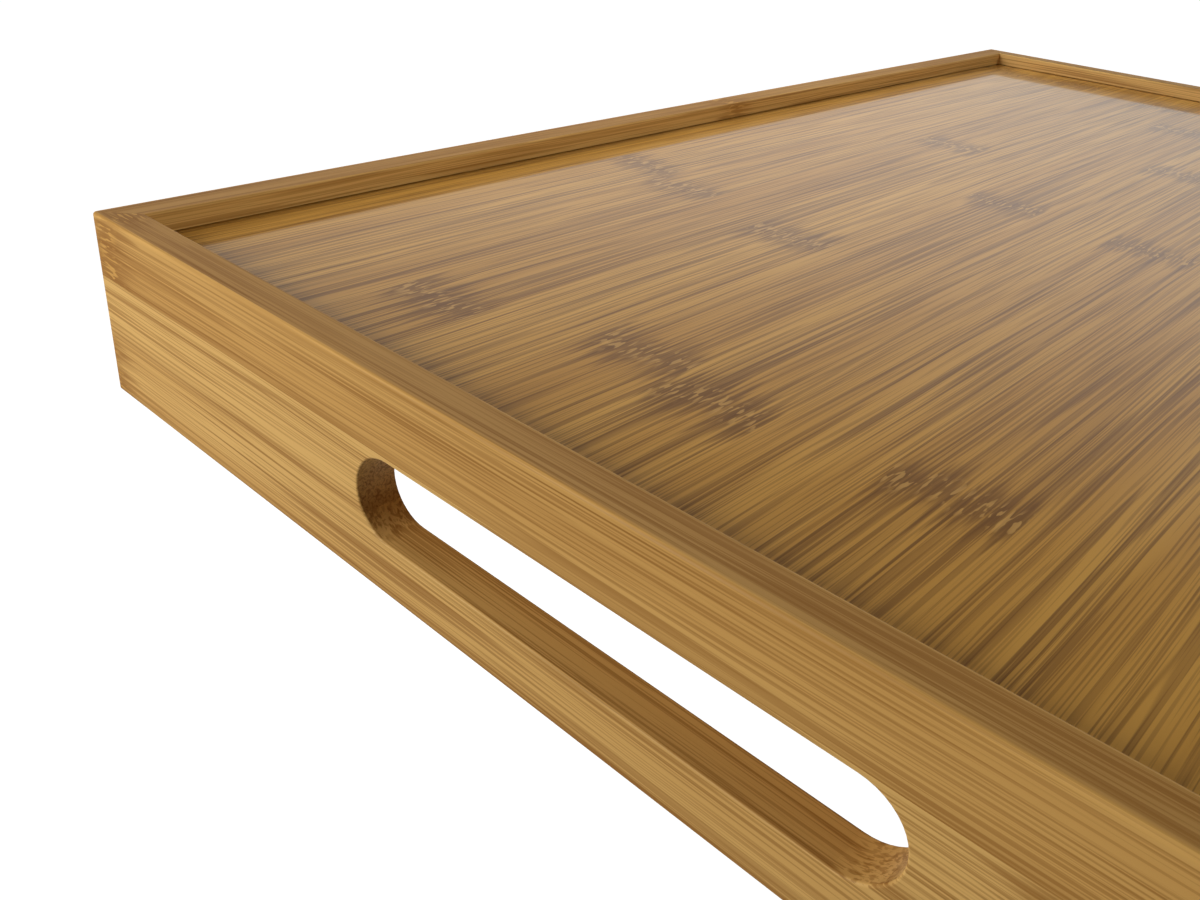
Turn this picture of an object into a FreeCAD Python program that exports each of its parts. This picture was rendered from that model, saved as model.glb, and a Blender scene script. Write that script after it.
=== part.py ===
import FreeCAD, Part
import math
import os
import re
import Sketcher

# Bamboo bed and serving tray with two folding leg frames, stored with its legs folded.
# A deep mitred frame of four rails holds a floor panel near its top, in a groove.
# Each end rail has a hand slot below the floor.  At each end a U-shaped leg frame
# turns on two pivot bolts and stows flat against the underside of the floor.
# Part frame: origin at the centre of the underside, X along the length, +Z up.

DIMENSIONS = {
    # mitred frame, mm
    "tray_length": 500.0,
    "tray_width": 330.0,
    "tray_height": 48.0,
    "rail_thickness": 9.5,
    "corner_radius": 1.2,
    "rim_radius": 0.8,
    "base_radius": 0.5,
    # floor panel and its groove
    "floor_recess": 5.6,
    "floor_thickness": 5.0,
    "floor_edge_play": 0.5,
    "groove_depth": 4.0,
    "groove_play": 0.2,
    # hand slots
    "grip_length": 118.0,
    "grip_height": 18.5,
    "grip_base": 12.4,
    "grip_edge_radius": 0.5,
    # loose tongues in the mitres
    "tongue_thickness": 3.0,
    "tongue_width": 8.0,
    "tongue_height": 33.0,
    "tongue_lift": 0.5,
    "tongue_play": 0.05,
    "tongue_from_corner": 8.0,
    # leg frames
    "pivot_inset": 30.0,
    "leg_width": 30.0,
    "leg_thickness": 12.0,
    "leg_reach": 210.0,
    "leg_floor_gap": 0.3,
    "leg_heel_radius": 2.0,
    "leg_foot_radius": 5.0,
    "leg_edge_radius": 1.0,
    "crossbar_width": 25.0,
    "crossbar_thickness": 10.0,
    "crossbar_from_foot": 34.0,
    "crossbar_edge_radius": 1.5,
    "tenon_width": 16.0,
    "tenon_thickness": 6.0,
    "tenon_play": 0.05,
    # pivot hardware
    "bolt_radius": 2.5,
    "bolt_play": 0.05,
    "bolt_length": 25.3,
    "bolt_recess": 2.5,
    "head_radius": 6.0,
    "head_thickness": 2.2,
    "head_edge_radius": 0.6,
    "head_play": 0.4,
    "socket_radius": 1.7,
    "socket_depth": 1.3,
    "spacer_radius": 7.0,
    "spacer_thickness": 1.15,
    "washer_radius": 6.0,
    "washer_thickness": 1.0,
    "washer_play": 0.15,
    "side_play": 0.05,
    "nut_radius": 4.6,
    "nut_height": 4.0,
    "nut_bore_depth": 4.6,
    "nut_dome_radius": 3.6,
    "nut_dome_height": 3.0,
    "nut_crown_radius": 2.8,
}

doc = FreeCAD.newDocument("bed_tray")
sheet = doc.addObject("Spreadsheet::Sheet", "Dimensions")
for row, (alias, value) in enumerate(DIMENSIONS.items(), start=1):
    sheet.set(f"A{row}", alias)
    sheet.set(f"B{row}", str(value))
    sheet.setAlias(f"B{row}", alias)
doc.recompute()

X_AXIS = FreeCAD.Vector(1, 0, 0)
Z_AXIS = FreeCAD.Vector(0, 0, 1)
H_LINE = -1
V_LINE = -2
START = 1
END = 2
CENTRE = 3
QUARTER_TURN = math.pi / 2
TOLERANCE = 1e-4

sub_parts = []


# ---------------------------------------------------------------- helpers
def bound(expression):
    """The expression with every alias pointed at the Dimensions sheet."""
    return re.sub(r"[a-z_]+", lambda word: "Dimensions." + word.group()
                  if word.group() in DIMENSIONS else word.group(), expression)


def now(expression):
    """The number the expression gives, used as a sketch's first guess."""
    return float(sheet.evalExpression(expression))


def new_body(label):
    """An empty body that will be written as the node of that name."""
    body = doc.addObject("PartDesign::Body", label)
    body.Label = label
    sub_parts.append(body)
    return body


def place(body, x, y, z, axis=Z_AXIS, angle=0.0):
    """Turn the body about axis, then put its origin at three expressions."""
    body.Placement = FreeCAD.Placement(FreeCAD.Vector(), FreeCAD.Rotation(axis, angle))
    body.setExpression(".Placement.Base.x", bound(x))
    body.setExpression(".Placement.Base.y", bound(y))
    body.setExpression(".Placement.Base.z", bound(z))


def new_sketch(body, role, name, offset="0"):
    """A sketch on one of the body's own origin planes, lifted along its normal."""
    sketch = body.newObject("Sketcher::SketchObject", name)
    plane = next(item for item in body.Origin.OriginFeatures if item.Role == role)
    sketch.AttachmentSupport = [(plane, "")]
    sketch.MapMode = "FlatFace"
    if offset != "0":
        sketch.setExpression(".AttachmentOffset.Base.z", bound(offset))
    return sketch


def fix_point(sketch, geometry, position, x, y):
    """Hold a point at two expressions, or on an axis where one of them is 0."""
    for kind, expression, axis_line in (("DistanceX", x, V_LINE), ("DistanceY", y, H_LINE)):
        if expression is None:
            continue
        if expression == "0":
            sketch.addConstraint(Sketcher.Constraint("PointOnObject", geometry, position, axis_line))
            continue
        index = sketch.addConstraint(
            Sketcher.Constraint(kind, -1, 1, geometry, position, now(expression)))
        sketch.setExpression(f"Constraints[{index}]", bound(expression))


def polygon(sketch, corners):
    """A closed outline of straight lines through corners given as expressions."""
    points = [FreeCAD.Vector(now(x), now(y), 0) for x, y in corners]
    count = len(points)
    for index in range(count):
        sketch.addGeometry(Part.LineSegment(points[index], points[(index + 1) % count]))
    for index in range(count):
        sketch.addConstraint(
            Sketcher.Constraint("Coincident", index, END, (index + 1) % count, START))
    for index, (x, y) in enumerate(corners):
        fix_point(sketch, index, START, x, y)


def rectangle(sketch, low_x, low_y, high_x, high_y):
    """A rectangle between two opposite corners given as expressions."""
    polygon(sketch, [(low_x, low_y), (high_x, low_y), (high_x, high_y), (low_x, high_y)])


def circle(sketch, radius, x="0", y="0"):
    """A circle with its radius and centre given as expressions."""
    centre = FreeCAD.Vector(now(x), now(y), 0)
    index = sketch.addGeometry(Part.Circle(centre, Z_AXIS, now(radius)))
    if x == "0" and y == "0":
        sketch.addConstraint(Sketcher.Constraint("Coincident", index, CENTRE, -1, 1))
    else:
        fix_point(sketch, index, CENTRE, x, y)
    limit = sketch.addConstraint(Sketcher.Constraint("Radius", index, now(radius)))
    sketch.setExpression(f"Constraints[{limit}]", bound(radius))


def stadium(sketch, length, height, x, y):
    """A round-ended slot lying along the sketch's X, centred at two expressions."""
    radius = now(height) / 2
    half = now(length) / 2 - radius
    centre = FreeCAD.Vector(now(x), now(y), 0)
    left = centre - X_AXIS * half
    right = centre + X_AXIS * half
    right_round = Part.Circle(right, Z_AXIS, radius)
    left_round = Part.Circle(left, Z_AXIS, radius)
    rise = FreeCAD.Vector(0, radius, 0)
    sketch.addGeometry(Part.ArcOfCircle(right_round, -QUARTER_TURN, QUARTER_TURN))
    sketch.addGeometry(Part.LineSegment(right + rise, left + rise))
    sketch.addGeometry(Part.ArcOfCircle(left_round, QUARTER_TURN, 3 * QUARTER_TURN))
    sketch.addGeometry(Part.LineSegment(left - rise, right - rise))
    for index in range(4):
        sketch.addConstraint(Sketcher.Constraint("Tangent", index, END, (index + 1) % 4, START))
    sketch.addConstraint(Sketcher.Constraint("Equal", 0, 2))
    fix_point(sketch, 0, CENTRE, f"{x} + ({length} - {height}) / 2", y)
    fix_point(sketch, 2, CENTRE, f"{x} - ({length} - {height}) / 2", None)
    sketch.addConstraint(Sketcher.Constraint("Horizontal", 1))
    limit = sketch.addConstraint(Sketcher.Constraint("Radius", 0, radius))
    sketch.setExpression(f"Constraints[{limit}]", bound(f"{height} / 2"))


def pad(body, sketch, length, both_ways=False, reverse=False):
    """Pad the sketch by an expression."""
    feature = body.newObject("PartDesign::Pad", sketch.Name + "_pad")
    feature.Profile = sketch
    feature.Midplane = both_ways
    feature.Reversed = reverse
    feature.setExpression("Length", bound(length))
    doc.recompute()
    return feature


def pocket(body, sketch, length=None, reverse=False):
    """Cut the sketch by an expression, or right through both ways; it has to cut."""
    before = body.Tip.Shape.Volume
    feature = body.newObject("PartDesign::Pocket", sketch.Name + "_cut")
    feature.Profile = sketch
    feature.Reversed = reverse
    if length is None:
        feature.Type = "ThroughAll"
        feature.Midplane = True
    else:
        feature.setExpression("Length", bound(length))
    doc.recompute()
    if feature.Shape.Volume >= before - TOLERANCE:
        raise RuntimeError(f"{feature.Name} cuts nothing")
    return feature


def fillet(body, name, radius, wanted):
    """Round every edge of the body's tip that wanted(edge) picks."""
    tip = body.Tip
    names = [f"Edge{index}" for index, edge in enumerate(tip.Shape.Edges, start=1)
             if wanted(edge)]
    if not names:
        raise RuntimeError(f"{body.Label} {name}: no edges")
    feature = body.newObject("PartDesign::Fillet", name)
    feature.Base = (tip, names)
    feature.setExpression("Radius", bound(radius))
    doc.recompute()
    return feature


def at_level(edge, axis, level):
    """Whether the whole edge lies in the plane at that level of one axis."""
    box = edge.BoundBox
    low = getattr(box, axis + "Min")
    high = getattr(box, axis + "Max")
    return abs(low - level) < TOLERANCE and abs(high - level) < TOLERANCE


# ---------------------------------------------------------------- rails
def mitred_plan(sketch, length):
    """A rail seen from above: outer face on the X axis, both ends cut at 45 degrees.

    The two tips follow the tray's rounded corners as far as the mitre.
    """
    radius = now("corner_radius")
    thickness = now("rail_thickness")
    far = now(length)
    tip = radius * (1 - 2 ** -0.5)
    eighth = QUARTER_TURN / 2
    right_centre = FreeCAD.Vector(far - radius, radius, 0)
    left_centre = FreeCAD.Vector(radius, radius, 0)

    def point(x, y):
        return FreeCAD.Vector(x, y, 0)

    outlines = [
        Part.LineSegment(point(radius, 0), point(far - radius, 0)),
        Part.ArcOfCircle(Part.Circle(right_centre, Z_AXIS, radius), -2 * eighth, -eighth),
        Part.LineSegment(point(far - tip, tip), point(far - thickness, thickness)),
        Part.LineSegment(point(far - thickness, thickness), point(thickness, thickness)),
        Part.LineSegment(point(thickness, thickness), point(tip, tip)),
        Part.ArcOfCircle(Part.Circle(left_centre, Z_AXIS, radius), -3 * eighth, -2 * eighth),
    ]
    for outline in outlines:
        sketch.addGeometry(outline)
    for index in range(6):
        sketch.addConstraint(
            Sketcher.Constraint("Coincident", index, END, (index + 1) % 6, START))
    fix_point(sketch, 0, START, "corner_radius", "0")
    fix_point(sketch, 0, END, f"{length} - corner_radius", "0")
    fix_point(sketch, 1, CENTRE, f"{length} - corner_radius", "corner_radius")
    fix_point(sketch, 5, CENTRE, "corner_radius", "corner_radius")
    fix_point(sketch, 3, START, f"{length} - rail_thickness", "rail_thickness")
    fix_point(sketch, 3, END, "rail_thickness", "rail_thickness")
    fix_point(sketch, 2, START, f"{length} - corner_radius * (1 - sqrt(1 / 2))", None)
    fix_point(sketch, 5, START, "corner_radius * (1 - sqrt(1 / 2))", None)


def tongue_mortise(body, length, name, at_far_end):
    """Half of the slot for a loose tongue, cut up into one mitre from below."""
    middle = "tongue_from_corner / sqrt(2)"
    along = "tongue_thickness / sqrt(8)"
    across = "tongue_width / sqrt(8)"
    corners = []
    for thick, wide in ((-1, -1), (-1, 1), (1, 1), (1, -1)):
        x = f"{middle} + {thick} * {along} + {wide} * {across}"
        y = f"{middle} + {thick} * {along} - {wide} * {across}"
        if at_far_end:
            x = f"{length} - ({x})"
        corners.append((x, y))
    sketch = new_sketch(body, "XY_Plane", name)
    polygon(sketch, corners)
    pocket(body, sketch, "tongue_height + tongue_lift", reverse=True)


def blank_rail(label, length):
    """A mitred rail with its floor groove, tongue mortises and rounded long edges."""
    body = new_body(label)
    plan = new_sketch(body, "XY_Plane", label + "_plan")
    mitred_plan(plan, length)
    pad(body, plan, "tray_height")

    groove_top = "tray_height - floor_recess + groove_play"
    groove = new_sketch(body, "XY_Plane", label + "_groove", groove_top)
    rectangle(groove, "0", "rail_thickness - groove_depth", length, "rail_thickness * 2")
    pocket(body, groove, "floor_thickness + groove_play")

    tongue_mortise(body, length, label + "_near_tongue", False)
    tongue_mortise(body, length, label + "_far_tongue", True)

    def along_rail(edge):
        box = edge.BoundBox
        return box.YLength < now("corner_radius") or box.XLength > now("rail_thickness") * 2

    def on_rim(edge):
        return at_level(edge, "Z", now("tray_height")) and along_rail(edge)

    def on_base(edge):
        outer = edge.BoundBox.YMax < now("corner_radius")
        inner = edge.BoundBox.XLength > now("rail_thickness") * 2
        return at_level(edge, "Z", 0.0) and (outer or inner)

    fillet(body, label + "_rim", "rim_radius", on_rim)
    fillet(body, label + "_base", "base_radius", on_base)
    return body


def end_rail(label):
    """An end rail: the blank with a hand slot below the floor."""
    body = blank_rail(label, "tray_width")
    grip = new_sketch(body, "XZ_Plane", label + "_grip")
    stadium(grip, "grip_length", "grip_height", "tray_width / 2", "grip_base + grip_height / 2")
    pocket(body, grip)
    middle = now("tray_width / 2")
    reach = now("grip_length / 2") + TOLERANCE
    low = now("grip_base") - TOLERANCE
    high = now("grip_base + grip_height") + TOLERANCE

    def grip_mouth(edge):
        box = edge.BoundBox
        inside = box.ZMin > low and box.ZMax < high
        near = box.XMin > middle - reach and box.XMax < middle + reach
        flat = at_level(edge, "Y", 0.0) or at_level(edge, "Y", now("rail_thickness"))
        return inside and near and flat

    fillet(body, label + "_grip_edges", "grip_edge_radius", grip_mouth)
    return body


PIVOT_HEIGHT = ("tray_height - floor_recess - floor_thickness - leg_floor_gap"
                " - leg_width / 2")


def long_rail(label):
    """A long rail: the blank with a counterbored hole for each leg frame's pivot bolt."""
    body = blank_rail(label, "tray_length")
    places = ("pivot_inset", "tray_length - pivot_inset")
    holes = new_sketch(body, "XZ_Plane", label + "_pivot_holes")
    for across in places:
        circle(holes, "bolt_radius + bolt_play", across, PIVOT_HEIGHT)
    pocket(body, holes)
    seats = new_sketch(body, "XZ_Plane", label + "_bolt_seats")
    for across in places:
        circle(seats, "head_radius + head_play", across, PIVOT_HEIGHT)
    pocket(body, seats, "bolt_recess")
    return body


place(end_rail("end_rail_left"), "-tray_length / 2", "tray_width / 2", "0", Z_AXIS, -90)
place(end_rail("end_rail_right"), "tray_length / 2", "-tray_width / 2", "0", Z_AXIS, 90)
place(long_rail("long_rail_front"), "-tray_length / 2", "-tray_width / 2", "0")
place(long_rail("long_rail_back"), "tray_length / 2", "tray_width / 2", "0", Z_AXIS, 180)


# ---------------------------------------------------------------- corner tongues
def corner_tongue(label):
    """A loose tongue glued into both halves of a mitre."""
    body = new_body(label)
    section = new_sketch(body, "XY_Plane", label + "_section")
    rectangle(section, "0", "0", "tongue_thickness - 2 * tongue_play",
              "tongue_width - 2 * tongue_play")
    pad(body, section, "tongue_height")
    return body


# The tongue's own corner is half its size back from its centre, turned with the mitre.
TONGUE_IN = "tongue_from_corner / sqrt(2)"
HALF_THICK = "(tongue_thickness / 2 - tongue_play)"
HALF_WIDE = "(tongue_width / 2 - tongue_play)"
for end_name, end_sign in (("left", -1), ("right", 1)):
    for side_name, side_sign in (("front", -1), ("back", 1)):
        turn = 45 if end_sign == side_sign else -45
        slope = 1 if turn > 0 else -1
        tongue = corner_tongue(f"corner_tongue_{end_name}_{side_name}")
        back_x = f"({HALF_THICK} - {slope} * {HALF_WIDE}) / sqrt(2)"
        back_y = f"({slope} * {HALF_THICK} + {HALF_WIDE}) / sqrt(2)"
        place(tongue,
              f"{end_sign} * (tray_length / 2 - {TONGUE_IN}) - {back_x}",
              f"{side_sign} * (tray_width / 2 - {TONGUE_IN}) - {back_y}",
              "tongue_lift", Z_AXIS, turn)


# ---------------------------------------------------------------- floor panel
def floor_panel():
    """The floor: a thin panel whose edges sit in the rails' grooves."""
    body = new_body("floor_panel")
    outline = new_sketch(body, "XY_Plane", "floor_outline")
    inset = "2 * (rail_thickness - groove_depth + floor_edge_play)"
    rectangle(outline, "0", "0", f"tray_length - {inset}", f"tray_width - {inset}")
    pad(body, outline, "floor_thickness")
    return body


FLOOR_IN = "rail_thickness - groove_depth + floor_edge_play"
place(floor_panel(), f"-tray_length / 2 + {FLOOR_IN}", f"-tray_width / 2 + {FLOOR_IN}",
      "tray_height - floor_recess - floor_thickness")


# ---------------------------------------------------------------- leg frames
def leg(label):
    """A leg lying along +X from its pivot at the origin, its thickness along +Y.

    Its head is rounded on the side that faces the floor when folded and square on the
    other, so that the square half bears on the floor when the leg stands upright.
    """
    body = new_body(label)
    sketch = new_sketch(body, "XZ_Plane", label + "_outline")
    half = now("leg_width / 2")
    heel = now("leg_heel_radius")
    foot = now("leg_foot_radius")
    reach = now("leg_reach")

    def point(x, z):
        return FreeCAD.Vector(x, z, 0)

    def arc(x, z, radius, first):
        full = Part.Circle(point(x, z), Z_AXIS, radius)
        return Part.ArcOfCircle(full, first * QUARTER_TURN, (first + 1) * QUARTER_TURN)

    outlines = [
        Part.LineSegment(point(-half + heel, -half), point(reach - foot, -half)),
        arc(reach - foot, -half + foot, foot, 3),
        Part.LineSegment(point(reach, -half + foot), point(reach, half - foot)),
        arc(reach - foot, half - foot, foot, 0),
        Part.LineSegment(point(reach - foot, half), point(0, half)),
        arc(0, 0, half, 1),
        Part.LineSegment(point(-half, 0), point(-half, -half + heel)),
        arc(-half + heel, -half + heel, heel, 2),
    ]
    for outline in outlines:
        sketch.addGeometry(outline)
    count = len(outlines)
    for index in range(count):
        sketch.addConstraint(
            Sketcher.Constraint("Tangent", index, END, (index + 1) % count, START))
    sketch.addConstraint(Sketcher.Constraint("Coincident", 5, CENTRE, -1, 1))
    sketch.addConstraint(Sketcher.Constraint("Horizontal", 0))
    sketch.addConstraint(Sketcher.Constraint("Vertical", 2))
    sketch.addConstraint(Sketcher.Constraint("Equal", 1, 3))
    for geometry, radius in ((5, "leg_width / 2"), (1, "leg_foot_radius"),
                             (7, "leg_heel_radius")):
        limit = sketch.addConstraint(Sketcher.Constraint("Radius", geometry, now(radius)))
        sketch.setExpression(f"Constraints[{limit}]", bound(radius))
    span = sketch.addConstraint(Sketcher.Constraint("DistanceX", -1, 1, 2, START, reach))
    sketch.setExpression(f"Constraints[{span}]", bound("leg_reach"))
    width = sketch.addConstraint(Sketcher.Constraint("DistanceY", 0, END, 4, START, 2 * half))
    sketch.setExpression(f"Constraints[{width}]", bound("leg_width"))
    pad(body, sketch, "leg_thickness", reverse=True)

    edges_at = now("leg_thickness")
    fillet(body, label + "_edges", "leg_edge_radius",
           lambda edge: at_level(edge, "Y", 0.0) or at_level(edge, "Y", edges_at))

    bore = new_sketch(body, "XZ_Plane", label + "_bore")
    circle(bore, "bolt_radius + bolt_play")
    pocket(body, bore)
    mortise = new_sketch(body, "XZ_Plane", label + "_mortise")
    stadium(mortise, "tenon_width", "tenon_thickness", "leg_reach - crossbar_from_foot", "0")
    pocket(body, mortise)
    return body


def crossbar(label, span):
    """A crossbar lying along +Y, with a round-ended tenon through each leg."""
    body = new_body(label)
    bar = new_sketch(body, "XZ_Plane", label + "_bar")
    half_width = now("crossbar_width / 2")
    half_thick = now("crossbar_thickness / 2")
    corners = [(-half_width, -half_thick), (half_width, -half_thick),
               (half_width, half_thick), (-half_width, half_thick)]
    for index in range(4):
        start = FreeCAD.Vector(*corners[index], 0)
        finish = FreeCAD.Vector(*corners[(index + 1) % 4], 0)
        bar.addGeometry(Part.LineSegment(start, finish))
    for index in range(4):
        bar.addConstraint(Sketcher.Constraint("Coincident", index, END, (index + 1) % 4, START))
    for index in (0, 2):
        bar.addConstraint(Sketcher.Constraint("Horizontal", index))
        bar.addConstraint(Sketcher.Constraint("Vertical", index + 1))
    bar.addConstraint(Sketcher.Constraint("Symmetric", 0, START, 2, START, -1, 1))
    for kind, geometry, size in (("DistanceX", 0, "crossbar_width"),
                                 ("DistanceY", 1, "crossbar_thickness")):
        limit = bar.addConstraint(
            Sketcher.Constraint(kind, geometry, START, geometry, END, now(size)))
        bar.setExpression(f"Constraints[{limit}]", bound(size))
    pad(body, bar, span, both_ways=True)

    half_span = now(span) / 2
    fillet(body, label + "_edges", "crossbar_edge_radius",
           lambda edge: edge.BoundBox.YLength > half_span)

    tenon = new_sketch(body, "XZ_Plane", label + "_tenon")
    stadium(tenon, "(tenon_width - 2 * tenon_play)", "(tenon_thickness - 2 * tenon_play)",
            "0", "0")
    pad(body, tenon, f"{span} + 2 * leg_thickness", both_ways=True)
    return body


LEG_OUTER = "(tray_width / 2 - rail_thickness - spacer_thickness - side_play)"
LEG_INNER = f"({LEG_OUTER} - leg_thickness)"
PIVOT_REACH = "(tray_length / 2 - pivot_inset)"
for end_name, end_sign in (("left", -1), ("right", 1)):
    # The right-hand frame is the left-hand one turned half round, so its legs
    # grow towards -Y from their own origin.
    turn = 0 if end_sign < 0 else 180
    front_y = f"-{LEG_OUTER}" if end_sign < 0 else f"-{LEG_INNER}"
    back_y = LEG_INNER if end_sign < 0 else LEG_OUTER
    pivot_x = f"{end_sign} * {PIVOT_REACH}"
    place(leg(f"leg_{end_name}_front"), pivot_x, front_y, PIVOT_HEIGHT, Z_AXIS, turn)
    place(leg(f"leg_{end_name}_back"), pivot_x, back_y, PIVOT_HEIGHT, Z_AXIS, turn)
    place(crossbar(f"leg_crossbar_{end_name}", f"2 * {LEG_INNER}"),
          f"{end_sign} * ({PIVOT_REACH} - leg_reach + crossbar_from_foot)", "0", PIVOT_HEIGHT)


# ---------------------------------------------------------------- pivot hardware
def hexagon(sketch, radius):
    """A regular hexagon about the sketch's origin, with a corner on +X."""
    size = now(radius)
    corners = [FreeCAD.Rotation(Z_AXIS, 60 * index).multVec(X_AXIS) * size
               for index in range(6)]
    guide = sketch.addGeometry(Part.Circle(FreeCAD.Vector(), Z_AXIS, size), True)
    sketch.addConstraint(Sketcher.Constraint("Coincident", guide, CENTRE, -1, 1))
    limit = sketch.addConstraint(Sketcher.Constraint("Radius", guide, size))
    sketch.setExpression(f"Constraints[{limit}]", bound(radius))
    for index in range(6):
        sketch.addGeometry(Part.LineSegment(corners[index], corners[(index + 1) % 6]))
    for index in range(6):
        line = guide + 1 + index
        following = guide + 1 + (index + 1) % 6
        sketch.addConstraint(Sketcher.Constraint("Coincident", line, END, following, START))
        sketch.addConstraint(Sketcher.Constraint("PointOnObject", line, START, guide))
        if index:
            sketch.addConstraint(Sketcher.Constraint("Equal", guide + 1, line))
    sketch.addConstraint(Sketcher.Constraint("PointOnObject", guide + 1, START, H_LINE))


def pivot_bolt(label):
    """A round-headed bolt along +Z, its head's underside at the origin."""
    body = new_body(label)
    head = new_sketch(body, "XY_Plane", label + "_head")
    circle(head, "head_radius")
    pad(body, head, "head_thickness", reverse=True)
    lowest = -now("head_thickness")
    fillet(body, label + "_head_edge", "head_edge_radius",
           lambda edge: at_level(edge, "Z", lowest))
    shank = new_sketch(body, "XY_Plane", label + "_shank")
    circle(shank, "bolt_radius")
    pad(body, shank, "bolt_length")
    socket = new_sketch(body, "XY_Plane", label + "_socket", "-head_thickness")
    hexagon(socket, "socket_radius")
    pocket(body, socket, "socket_depth", reverse=True)
    return body


def ring(label, outer, inner, thickness):
    """A flat washer standing on the origin along +Z."""
    body = new_body(label)
    section = new_sketch(body, "XY_Plane", label + "_section")
    circle(section, outer)
    circle(section, inner)
    pad(body, section, thickness)
    return body


def cap_nut(label):
    """A domed nut along +Z, with a blind bore for the bolt's end."""
    body = new_body(label)
    dome = new_sketch(body, "XY_Plane", label + "_dome")
    circle(dome, "nut_dome_radius")
    pad(body, dome, "nut_height + nut_dome_height")
    top = now("nut_height + nut_dome_height")
    fillet(body, label + "_crown", "nut_crown_radius",
           lambda edge: at_level(edge, "Z", top))
    flats = new_sketch(body, "XY_Plane", label + "_flats")
    hexagon(flats, "nut_radius")
    pad(body, flats, "nut_height")
    bore = new_sketch(body, "XY_Plane", label + "_bore")
    circle(bore, "bolt_radius + bolt_play")
    pocket(body, bore, "nut_bore_depth", reverse=True)
    return body


# Depths from the rail's outer face to each piece on the pivot, going inwards.
SPACER_DEPTH = "rail_thickness"
WASHER_DEPTH = "rail_thickness + spacer_thickness + leg_thickness + 2 * side_play"
NUT_DEPTH = f"{WASHER_DEPTH} + washer_thickness"
for end_name, end_sign in (("left", -1), ("right", 1)):
    for side_name, side_sign in (("front", -1), ("back", 1)):
        spot = f"{end_name}_{side_name}"
        pieces = (
            (pivot_bolt(f"pivot_bolt_{spot}"), "bolt_recess"),
            (ring(f"pivot_spacer_{spot}", "spacer_radius", "bolt_radius + washer_play",
                  "spacer_thickness"), SPACER_DEPTH),
            (ring(f"pivot_washer_{spot}", "washer_radius", "bolt_radius + washer_play",
                  "washer_thickness"), WASHER_DEPTH),
            (cap_nut(f"pivot_nut_{spot}"), NUT_DEPTH),
        )
        for piece, depth in pieces:
            place(piece, f"{end_sign} * {PIVOT_REACH}",
                  f"{side_sign} * (tray_width / 2 - ({depth}))", PIVOT_HEIGHT,
                  X_AXIS, 90 * side_sign)


# ---------------------------------------------------------------- check and write
doc.recompute()
for item in doc.Objects:
    if "Invalid" in item.State or "Error" in item.State:
        raise RuntimeError(f"{item.Name} failed: {item.State}")
for body in sub_parts:
    if body.Shape.isNull() or not body.Shape.isValid():
        raise RuntimeError(f"{body.Label} has no valid shape")

os.makedirs("parts", exist_ok=True)
for body in sub_parts:
    body.Shape.exportStep(os.path.join("parts", body.Label + ".step"))
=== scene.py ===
"""Looks of the bamboo bed tray: bamboo, varnish, plated steel and nylon on the CAD frame."""

import math

import bpy
from mathutils import Matrix, Vector


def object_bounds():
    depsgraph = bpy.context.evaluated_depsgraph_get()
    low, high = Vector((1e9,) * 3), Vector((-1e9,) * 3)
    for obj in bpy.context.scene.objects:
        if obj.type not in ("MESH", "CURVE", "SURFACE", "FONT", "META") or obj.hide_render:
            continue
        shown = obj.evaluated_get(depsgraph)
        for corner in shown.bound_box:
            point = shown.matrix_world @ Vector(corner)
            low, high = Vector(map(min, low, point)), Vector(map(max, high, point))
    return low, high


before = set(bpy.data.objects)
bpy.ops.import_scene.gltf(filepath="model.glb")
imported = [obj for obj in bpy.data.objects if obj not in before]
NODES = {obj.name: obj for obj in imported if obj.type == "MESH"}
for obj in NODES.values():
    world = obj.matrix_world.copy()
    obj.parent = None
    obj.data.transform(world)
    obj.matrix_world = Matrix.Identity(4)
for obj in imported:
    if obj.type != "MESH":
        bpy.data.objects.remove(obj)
CAD_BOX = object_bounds()
MM = 0.001
HALF_LENGTH, HALF_WIDTH, HEIGHT = (round(reach / MM, 3) for reach in CAD_BOX[1])

ENDS = ("left", "right")
SIDES = ("front", "back")
SPOTS = [f"{end}_{side}" for end in ENDS for side in SIDES]


# ---------------------------------------------------------------- node graphs
def rgb(red, green, blue):
    return (red, green, blue, 1.0)


def fill_ramp(ramp, stops):
    """Give a colour ramp these (position, colour) stops, lowest first."""
    elements = ramp.color_ramp.elements
    while len(elements) < len(stops):
        elements.new(0.5)
    for index, (position, colour) in enumerate(stops):
        elements[index].position = position
        elements[index].color = colour


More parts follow.
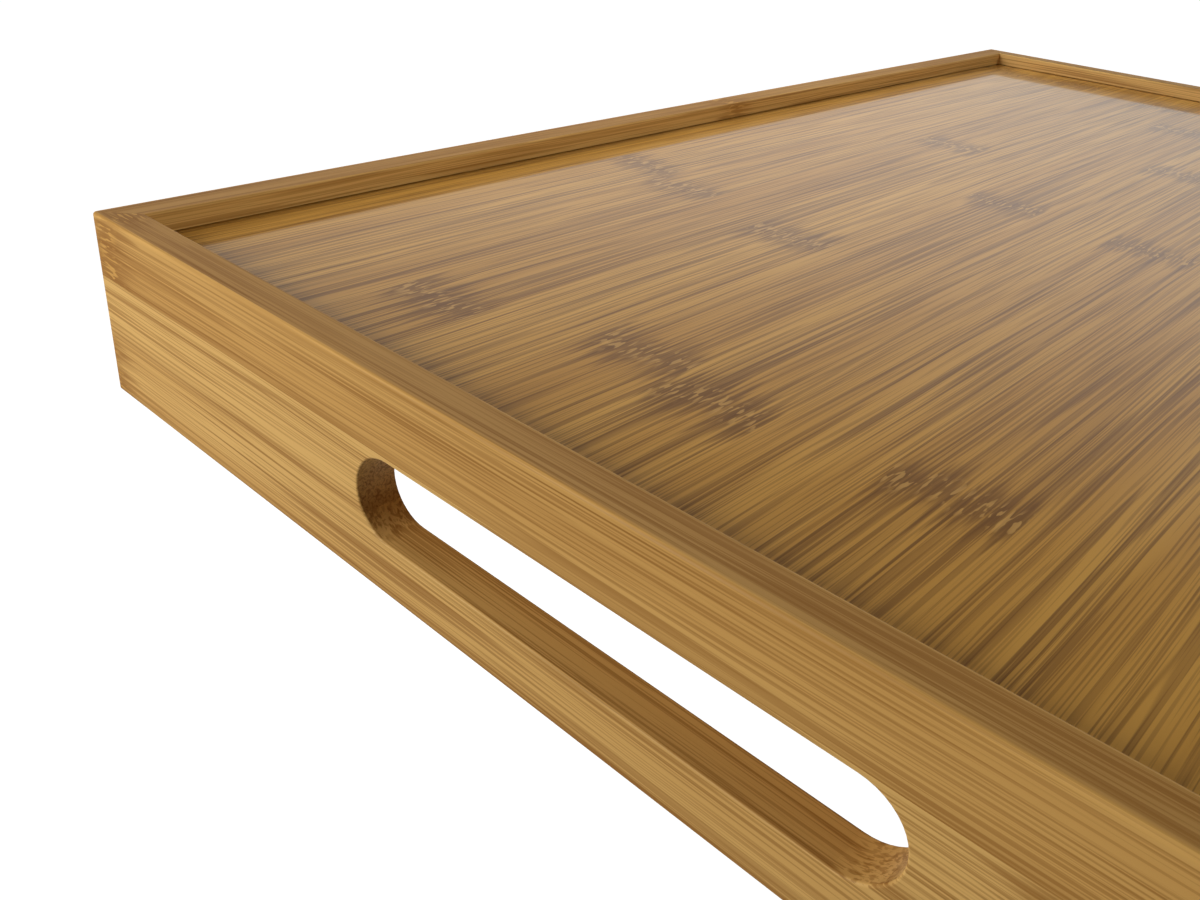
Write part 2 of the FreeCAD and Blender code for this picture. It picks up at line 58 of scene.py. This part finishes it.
class Graph:
    """A short way to write a material's nodes: most calls return an output socket."""

    def __init__(self, name):
        self.material = bpy.data.materials.new(name)
        self.material.use_nodes = True
        self.tree = self.material.node_tree
        self.tree.nodes.clear()
        self.surface = self.add("ShaderNodeBsdfPrincipled")
        output = self.add("ShaderNodeOutputMaterial")
        self.tree.links.new(self.surface.outputs[0], output.inputs["Surface"])

    def add(self, kind, **settings):
        node = self.tree.nodes.new(kind)
        for key, value in settings.items():
            setattr(node, key, value)
        return node

    def plug(self, value, socket):
        """Link a socket, or set a plain number or colour."""
        if isinstance(value, bpy.types.NodeSocket):
            self.tree.links.new(value, socket)
        else:
            socket.default_value = value

    def math(self, operation, *values):
        node = self.add("ShaderNodeMath", operation=operation)
        for value, socket in zip(values, node.inputs):
            self.plug(value, socket)
        return node.outputs[0]

    def centred(self, noise, width):
        """A noise of 0 to 1 turned into a shift of half the width either way."""
        return self.math("MULTIPLY_ADD", noise, width, -width / 2)

    def vector(self, x, y, z):
        node = self.add("ShaderNodeCombineXYZ")
        for value, socket in zip((x, y, z), node.inputs):
            self.plug(value, socket)
        return node.outputs[0]

    def place(self):
        """The point in the row frame at rest, as three sockets in millimetres."""
        where = self.add("ShaderNodeTexCoord").outputs["Object"]
        scaled = self.add("ShaderNodeVectorMath", operation="SCALE")
        self.plug(where, scaled.inputs[0])
        scaled.inputs["Scale"].default_value = 1 / MM
        split = self.add("ShaderNodeSeparateXYZ")
        self.plug(scaled.outputs[0], split.inputs[0])
        return split.outputs[:]

    def noise(self, vector, detail, scale=1.0):
        node = self.add("ShaderNodeTexNoise", noise_dimensions="3D")
        self.plug(vector, node.inputs["Vector"])
        node.inputs["Scale"].default_value = scale
        node.inputs["Detail"].default_value = detail
        return node.outputs["Fac"]

    def random(self, value):
        node = self.add("ShaderNodeTexWhiteNoise", noise_dimensions="1D")
        self.plug(value, node.inputs["W"])
        return node.outputs["Value"]

    def remap(self, value, low, high, to_low=0.0, to_high=1.0):
        """A smooth step from to_low, where the value is low, to to_high, where it is high."""
        node = self.add("ShaderNodeMapRange", interpolation_type="SMOOTHSTEP")
        for item, socket in zip((value, low, high, to_low, to_high), node.inputs):
            self.plug(item, socket)
        return node.outputs[0]

    def mix(self, amount, first, second):
        node = self.add("ShaderNodeMix", data_type="RGBA")
        self.plug(amount, node.inputs[0])
        self.plug(first, node.inputs[6])
        self.plug(second, node.inputs[7])
        return node.outputs[2]

    def bump(self, height, distance, strength):
        node = self.add("ShaderNodeBump")
        self.plug(height, node.inputs["Height"])
        node.inputs["Distance"].default_value = distance
        node.inputs["Strength"].default_value = strength
        return node.outputs["Normal"]

    def finish(self, **sockets):
        """Set the surface's sockets and return the material."""
        for name, value in sockets.items():
            self.plug(value, self.surface.inputs[name.replace("_", " ")])
        return self.material


# ---------------------------------------------------------------- bamboo
# A board is glued up from strips side by side.  Each strip is (first cane node along
# the grain, mm from the middle; distance between nodes, mm; tone, 0 dark to 1 pale).
NODE_RANGE = 500.0   # mm; a ramp's colours hold the strips' lengths as shares of it
FLOOR_STRIP = 23.3
FLOOR_STRIPS = (
    (30, 240, 0.40), (-30, 240, 0.60), (60, 260, 0.52), (-150, 230, 0.40), (-15, 270, 0.55),
    (-90, 250, 0.50), (-195, 300, 0.45), (-26, 260, 0.52), (-200, 278, 0.60), (-193, 176, 0.42),
    (-104, 310, 0.66), (-210, 252, 0.48), (-92, 315, 0.58), (-82, 300, 0.60), (-250, 480, 0.50),
)
RAIL_LAYER = 16.0
NEAR_LAYERS = ((166, 480, 0.60), (400, 480, 0.95), (158, 490, 0.34))
# The far end rail's layer tones are set paler than the other rails': partly the bamboo's own tone,
# partly painted light for the brighter light on its inner face.
FAR_LAYERS = ((60, 280, 0.7), (-90, 260, 0.9), (-20, 300, 1.0))
FRONT_LAYERS = ((-120, 250, 0.7), (40, 270, 0.5), (110, 260, 0.8))
BACK_LAYERS = ((70, 260, 0.5), (-160, 280, 0.8), (2, 270, 0.35))
LEG_STRIP = 15.0
LEG_EDGE = -23.0
LEG_STRIPS = ((-60, 260, 0.6), (40, 250, 0.8), (110, 240, 0.45), (-130, 250, 0.7))
BAR_STRIP = 18.0
BAR_EDGE = -144.0

# Noises drawn out along the grain: (length of a fibre, its breadth), mm.
BROAD_FIBRES = (170.0, 9.0)
MEDIUM_FIBRES = (120.0, 3.0)
THIN_FIBRES = (90.0, 0.70)
FINE_FIBRES = (50.0, 0.42)
FRAYED_FIBRES = (30.0, 0.9)
DASH_FIBRES = (5.0, 0.85)
DASH_BENDS = (6.0, 2.5)

# The fibres' shapes.
STRIP_SHIFT = 900.0          # mm along the grain, at most, between two strips' noises
SWAY = 1.2                   # mm that a fibre wanders sideways
SWAY_WAVES = (0.012, 0.05)   # waves of that for each mm along, and across
NODE_BOW = 14.0              # mm that a cane node's line wanders along the grain
BOW_WAVES = 0.11             # waves of that for each mm across
NODE_FRAY = 44.0             # mm by which its dark patch runs out along single fibres
NODE_PATCH = (1.0, 13.0)     # mm from a node where the patch starts to fade, and where it ends
NODE_CORE = (1.5, 7.0)       # the same for its pale dashes
DASH_BEND = 6.0              # mm that a dash is bent along the grain

# The fibres' colours.
TINT_EDGES = (0.30, 0.70)             # of strip tone and noise, from the deep colour to the pale
CLUSTER = (0.36, 0.60, 0.62, 1.0)     # streaks are weaker where the medium noise is low
MEDIUM_STREAKS = (0.50, 0.70, 0.20)   # noise where streaks start, where they are full, strength
THIN_STREAKS = (0.52, 0.62, 0.68)
FINE_STREAKS = (0.50, 0.60, 0.58)
RIND_DEPTH = 0.22                     # of a strip's width
PATCH_STRENGTH = 0.72
DASH_EDGES = (0.54, 0.60)
DASH_STRENGTH = 0.60
# bright orange of the pale dashes at cane nodes, and of the painted highlight along the rounded
# top rim
BRIGHT_ORANGE = rgb(0.74, 0.41, 0.10)
RIM_HIGHLIGHT_REACH = (0.4, 1.5)             # mm from the rim where the painted highlight starts to fade, and its end
RIM_HIGHLIGHT_STRENGTH = 0.35

# The varnish and what shows through it.
VARNISH_IOR = 1.5
POLISH_VARIATION = 0.16
FINE_RELIEF = 0.6
THIN_RELIEF = 0.4
GRAIN_HEIGHT = 0.00006
GRAIN_STRENGTH = 0.5


def strip_values(graph, across, width, first_edge, strips):
    """Each strip's own first node, node spacing, tone and number at this point."""
    count = len(strips)
    from_edge = graph.math("SUBTRACT", across, first_edge)
    number = graph.math("FLOOR", graph.math("DIVIDE", from_edge, width))
    ramp = graph.add("ShaderNodeValToRGB")
    graph.plug(graph.math("DIVIDE", graph.math("ADD", number, 0.5), count), ramp.inputs[0])
    ramp.color_ramp.interpolation = "CONSTANT"
    fill_ramp(ramp, [
        (index / count, rgb((first + NODE_RANGE) / (2 * NODE_RANGE), spacing / NODE_RANGE, tone))
        for index, (first, spacing, tone) in enumerate(strips)])
    split = graph.add("ShaderNodeSeparateColor")
    graph.plug(ramp.outputs["Color"], split.inputs[0])
    red, green, tone = split.outputs[:3]
    first = graph.math("MULTIPLY_ADD", red, 2 * NODE_RANGE, -NODE_RANGE)
    spacing = graph.math("MULTIPLY", green, NODE_RANGE)
    return first, spacing, tone, number


class Cane:
    """The fibres of each strip, which is its own piece of cane."""

    def __init__(self, graph, along, across, depth, number):
        self.graph = graph
        self.depth = depth
        shift = graph.math("MULTIPLY", graph.random(number), STRIP_SHIFT)
        self.run = graph.math("ADD", along, shift)
        waves_along, waves_across = SWAY_WAVES
        wave = graph.noise(graph.vector(graph.math("MULTIPLY", self.run, waves_along),
                                        graph.math("MULTIPLY", across, waves_across), 0.0),
                           detail=1.0)
        self.side = graph.math("ADD", across, graph.centred(wave, SWAY))

    def fibres(self, size, detail=1.0, run=None):
        """Noise with fibres of this (length, breadth)."""
        length, breadth = size
        run = self.run if run is None else run
        math_node = self.graph.math
        point = self.graph.vector(math_node("DIVIDE", run, length),
                                  math_node("DIVIDE", self.side, breadth),
                                  math_node("DIVIDE", self.depth, breadth))
        return self.graph.noise(point, detail=detail)

    def node_marks(self, along, across, first, spacing, number):
        """How strong the dark patch and the pale dashes of the nearest cane node are."""
        graph = self.graph
        line = graph.vector(number, graph.math("MULTIPLY", across, BOW_WAVES), 0.0)
        bow = graph.centred(graph.noise(line, detail=2.0), NODE_BOW)
        from_first = graph.math("SUBTRACT", graph.math("SUBTRACT", along, first), bow)
        half = graph.math("MULTIPLY", spacing, 0.5)
        wrapped = graph.math("FLOORED_MODULO", graph.math("ADD", from_first, half), spacing)
        distance = graph.math("ABSOLUTE", graph.math("SUBTRACT", wrapped, half))

        fray = graph.centred(self.fibres(FRAYED_FIBRES, detail=2.0), NODE_FRAY)
        patch = graph.remap(graph.math("ADD", distance, fray), *NODE_PATCH, 1.0, 0.0)
        bent = graph.math("MULTIPLY_ADD", self.fibres(DASH_BENDS), DASH_BEND, self.run)
        dash = graph.remap(self.fibres(DASH_FIBRES, run=bent), *DASH_EDGES)
        dashes = graph.math("MULTIPLY", graph.remap(distance, *NODE_CORE, 1.0, 0.0), dash)
        return patch, dashes


def bamboo(name, axes, width, first_edge, strips, tones, rind=0.0, rim=None, roughness=0.52,
           specular=0.2, coat=0.0, coat_roughness=0.1, streaks=1.0):
    """Varnished laminated bamboo.

    axes names the grain, across-strips and depth axes; tones are the pale, deep and streak
    colours; rind darkens each strip towards its lower edge, where the cane was densest; rim
    is a rounded top edge (axis, distance from the middle, height) given a painted highlight.
    """
    pale, deep, streak = tones
    graph = Graph(name)
    place = dict(zip("XYZ", graph.place()))
    along, across, depth = (place[axis] for axis in axes)
    first, spacing, tone, number = strip_values(graph, across, width, first_edge, strips)
    cane = Cane(graph, along, across, depth, number)
    broad = cane.fibres(BROAD_FIBRES)
    medium = cane.fibres(MEDIUM_FIBRES)
    thin = cane.fibres(THIN_FIBRES, detail=0.0)
    fine = cane.fibres(FINE_FIBRES)

    tint = graph.math("ADD", graph.math("MULTIPLY", tone, 0.5), graph.math("MULTIPLY", broad, 0.5))
    colour = graph.mix(graph.remap(tint, *TINT_EDGES), deep, pale)
    cluster = graph.remap(medium, *CLUSTER)
    for noise, (low, high, strength) in ((medium, MEDIUM_STREAKS), (thin, THIN_STREAKS),
                                         (fine, FINE_STREAKS)):
        amount = graph.math("MULTIPLY", graph.remap(noise, low, high), cluster)
        colour = graph.mix(graph.math("MULTIPLY", amount, strength * streaks), colour, streak)
    if rind:
        up_strips = graph.math("DIVIDE", graph.math("SUBTRACT", across, first_edge), width)
        dense = graph.remap(graph.math("FRACT", up_strips), 0.0, RIND_DEPTH, 1.0, 0.0)
        colour = graph.mix(graph.math("MULTIPLY", dense, rind), colour, streak)
    patch, dashes = cane.node_marks(along, across, first, spacing, number)
    colour = graph.mix(graph.math("MULTIPLY", patch, PATCH_STRENGTH), colour, streak)
    colour = graph.mix(graph.math("MULTIPLY", dashes, DASH_STRENGTH), colour, BRIGHT_ORANGE)
    # painted highlight: a narrow band along the rounded top rim is painted brighter orange,
    # standing in for the light that edge catches
    if rim:
        axis, reach, height = rim
        inward = graph.math("SUBTRACT", reach, graph.math("ABSOLUTE", place[axis]))
        below = graph.math("SUBTRACT", height, place["Z"])
        rim_highlight = graph.remap(graph.math("ADD", inward, below), *RIM_HIGHLIGHT_REACH, 1.0, 0.0)
        colour = graph.mix(graph.math("MULTIPLY", rim_highlight, RIM_HIGHLIGHT_STRENGTH), colour, BRIGHT_ORANGE)

    polish = graph.math("MULTIPLY_ADD", fine, POLISH_VARIATION, roughness - POLISH_VARIATION / 2)
    relief = graph.math("ADD", graph.math("MULTIPLY", fine, FINE_RELIEF),
                        graph.math("MULTIPLY", thin, THIN_RELIEF))
    return graph.finish(Base_Color=colour, Roughness=polish, Coat_Weight=coat,
                        Coat_Roughness=coat_roughness, Specular_IOR_Level=specular,
                        Normal=graph.bump(relief, GRAIN_HEIGHT, GRAIN_STRENGTH), IOR=VARNISH_IOR)


# ---------------------------------------------------------------- materials
# Pale, deep and streak colours.
RAIL_TONES = (rgb(0.71, 0.425, 0.130), rgb(0.59, 0.320, 0.084), rgb(0.30, 0.122, 0.017))
FLOOR_TONES = (rgb(0.69, 0.360, 0.062), rgb(0.55, 0.262, 0.036), rgb(0.17, 0.062, 0.006))
FLOOR_EDGE = HALF_WIDTH - len(FLOOR_STRIPS) * FLOOR_STRIP
END_RIM = ("X", HALF_LENGTH, HEIGHT)
LONG_RIM = ("Y", HALF_WIDTH, HEIGHT)


def floor_bamboo():
    return bamboo("bamboo_floor", "XYZ", FLOOR_STRIP, FLOOR_EDGE, FLOOR_STRIPS, FLOOR_TONES,
                  roughness=0.34, specular=0.3, coat=0.62, coat_roughness=0.06, streaks=0.88)


def rail_bamboo(name, axes, layers, rim):
    return bamboo(name, axes, RAIL_LAYER, 0.0, layers, RAIL_TONES, rind=0.4, rim=rim, streaks=0.9)


def leg_bamboo():
    return bamboo("bamboo_leg", "XZY", LEG_STRIP, LEG_EDGE, LEG_STRIPS, RAIL_TONES, streaks=0.8)


def bar_bamboo():
    return bamboo("bamboo_bar", "YXZ", BAR_STRIP, BAR_EDGE, FLOOR_STRIPS, RAIL_TONES, streaks=0.8)


def plated_steel():
    graph = Graph("plated_steel")
    x, y, z = graph.place()
    cloud = graph.noise(graph.vector(x, y, z), detail=3.0, scale=1.3)
    brushed = graph.vector(graph.math("MULTIPLY", x, 7.0), y, graph.math("MULTIPLY", z, 0.8))
    scuff = graph.noise(brushed, detail=3.0)
    colour = graph.mix(graph.remap(cloud, 0.3, 0.7), rgb(0.62, 0.60, 0.57), rgb(0.78, 0.76, 0.73))
    return graph.finish(Base_Color=colour, Metallic=1.0,
                        Roughness=graph.remap(scuff, 0.3, 0.7, 0.22, 0.38),
                        Normal=graph.bump(scuff, 0.00002, 0.4))


def nylon():
    graph = Graph("nylon")
    x, y, z = graph.place()
    cloud = graph.noise(graph.vector(x, y, z), detail=2.0, scale=0.8)
    colour = graph.mix(cloud, rgb(0.78, 0.76, 0.70), rgb(0.86, 0.85, 0.80))
    return graph.finish(Base_Color=colour, Roughness=graph.remap(cloud, 0.3, 0.7, 0.42, 0.52),
                        Normal=graph.bump(cloud, 0.00003, 0.3))


def wear(names, material):
    """Give CAD nodes this material in place of their plain one."""
    for name in names:
        node = NODES[name]
        node.data.materials.clear()
        node.data.materials.append(material)


def on_spots(piece):
    """The names of a piece that is at all four corners."""
    return [f"{piece}_{spot}" for spot in SPOTS]


front_bamboo = rail_bamboo("bamboo_front", "XZY", FRONT_LAYERS, LONG_RIM)
wear(["floor_panel"], floor_bamboo())
wear(["end_rail_left"], rail_bamboo("bamboo_end_left", "YZX", NEAR_LAYERS, END_RIM))
wear(["end_rail_right"], rail_bamboo("bamboo_end_right", "YZX", FAR_LAYERS, END_RIM))
wear(["long_rail_front"], front_bamboo)
wear(["long_rail_back"], rail_bamboo("bamboo_back", "XZY", BACK_LAYERS, LONG_RIM))
wear(on_spots("corner_tongue"), front_bamboo)
wear(on_spots("leg"), leg_bamboo())
wear([f"leg_crossbar_{end}" for end in ENDS], bar_bamboo())
wear(on_spots("pivot_bolt") + on_spots("pivot_washer") + on_spots("pivot_nut"), plated_steel())
wear(on_spots("pivot_spacer"), nylon())


# ---------------------------------------------------------------- studio
STUDIO_FLOOR_LEVEL = -0.1885   # m, at the feet of the opened legs
STUDIO_FLOOR_REACH = 6.0

# Name, place, aim, size of its square, power in watts, spread in degrees, and whether the
# varnish mirrors it.
LIGHTS = (
    ("key", (-0.95, 0.40, 0.32), (-0.25, 0.30, 0.02), 0.36, 3.95, 140.0, True),
    ("top", (0.10, 0.36, 0.38), (0.05, 0.16, 0.0), 0.5, 0.62, 85.0, False),
    ("fill", (0.10, -0.95, 0.20), (-0.10, 0.165, 0.04), 0.5, 0.92, 75.0, False),
)

# Brightness of the surroundings by the sine of the height above the horizon.
SKY = ((-1.0, 1.0), (-0.6, 0.75), (-0.1, 0.40), (0.0, 0.75), (0.30, 0.62), (0.40, 0.36),
       (0.50, 0.06), (1.0, 0.10))
SKY_TINT = (1.0, 0.985, 0.96)
SKY_STRENGTH = 0.6
SKY_SIDE = (0.45, 0.25, 0.0)   # added to that strength towards +X, +Y and +Z


def studio_floor():
    """A plain white floor that lights nothing and is see-through from below."""
    reach = STUDIO_FLOOR_REACH
    mesh = bpy.data.meshes.new("studio_floor")
    corners = [(-reach, -reach, 0), (reach, -reach, 0), (reach, reach, 0), (-reach, reach, 0)]
    mesh.from_pydata(corners, [], [(0, 1, 2, 3)])
    floor = bpy.data.objects.new("studio_floor", mesh)
    floor.location.z = STUDIO_FLOOR_LEVEL
    floor.visible_diffuse = False
    floor.visible_glossy = False
    bpy.context.scene.collection.objects.link(floor)
    graph = Graph("studio_floor")
    below = graph.add("ShaderNodeNewGeometry").outputs["Backfacing"]
    white = graph.finish(Base_Color=rgb(0.1, 0.1, 0.1), Roughness=0.9,
                         Alpha=graph.math("SUBTRACT", 1.0, below),
                         Emission_Color=rgb(1, 1, 1), Emission_Strength=1.0)
    mesh.materials.append(white)


def studio_light(name, place, aim, size, power, spread, mirrored):
    data = bpy.data.lights.new(name, "AREA")
    data.size = size
    data.energy = power
    data.spread = math.radians(spread)
    light = bpy.data.objects.new(name, data)
    light.location = place
    light.rotation_euler = (Vector(aim) - Vector(place)).to_track_quat("-Z", "Y").to_euler()
    light.visible_glossy = mirrored
    bpy.context.scene.collection.objects.link(light)


def studio_sky():
    """A pale horizon that darkens overhead, like white walls under a dim ceiling."""
    world = bpy.data.worlds.new("studio")
    world.use_nodes = True
    tree = world.node_tree
    background = tree.nodes["Background"]
    where = tree.nodes.new("ShaderNodeTexCoord")
    split = tree.nodes.new("ShaderNodeSeparateXYZ")
    rise = tree.nodes.new("ShaderNodeMath")
    rise.operation = "MULTIPLY_ADD"
    rise.inputs[1].default_value = 0.5
    rise.inputs[2].default_value = 0.5
    ramp = tree.nodes.new("ShaderNodeValToRGB")
    fill_ramp(ramp, [((height + 1.0) / 2.0, rgb(*(level * share for share in SKY_TINT)))
                     for height, level in SKY])
    side = tree.nodes.new("ShaderNodeVectorMath")
    side.operation = "DOT_PRODUCT"
    side.inputs[1].default_value = SKY_SIDE
    strength = tree.nodes.new("ShaderNodeMath")
    strength.inputs[1].default_value = SKY_STRENGTH
    tree.links.new(where.outputs["Generated"], split.inputs[0])
    tree.links.new(where.outputs["Generated"], side.inputs[0])
    tree.links.new(side.outputs["Value"], strength.inputs[0])
    tree.links.new(split.outputs["Z"], rise.inputs[0])
    tree.links.new(rise.outputs[0], ramp.inputs[0])
    tree.links.new(ramp.outputs["Color"], background.inputs["Color"])
    tree.links.new(strength.outputs[0], background.inputs["Strength"])
    bpy.context.scene.world = world


studio_floor()
studio_sky()
for light in LIGHTS:
    studio_light(*light)


# ---------------------------------------------------------------- camera
CAMERA_PLACE = Vector((-0.3507, -0.0845, 0.1336))
CAMERA_AIM = Vector((-0.2343, 0.0229, 0.0424))
CAMERA_ROLL = math.radians(4.18)
CAMERA_SENSOR = 36.0
CAMERA_LENS = 31.42
CAMERA_SHIFT = (0.0409, -0.0083)


def studio_camera():
    data = bpy.data.cameras.new("camera")
    data.sensor_width = CAMERA_SENSOR
    data.lens = CAMERA_LENS
    data.shift_x, data.shift_y = CAMERA_SHIFT
    data.clip_start = 0.01
    camera = bpy.data.objects.new("camera", data)
    bpy.context.scene.collection.objects.link(camera)
    look = (CAMERA_AIM - CAMERA_PLACE).to_track_quat("-Z", "Y").to_matrix().to_4x4()
    roll = Matrix.Rotation(CAMERA_ROLL, 4, "Z")
    camera.matrix_world = Matrix.Translation(CAMERA_PLACE) @ look @ roll
    bpy.context.scene.camera = camera


studio_camera()
bpy.context.scene.view_settings.view_transform = "Standard"
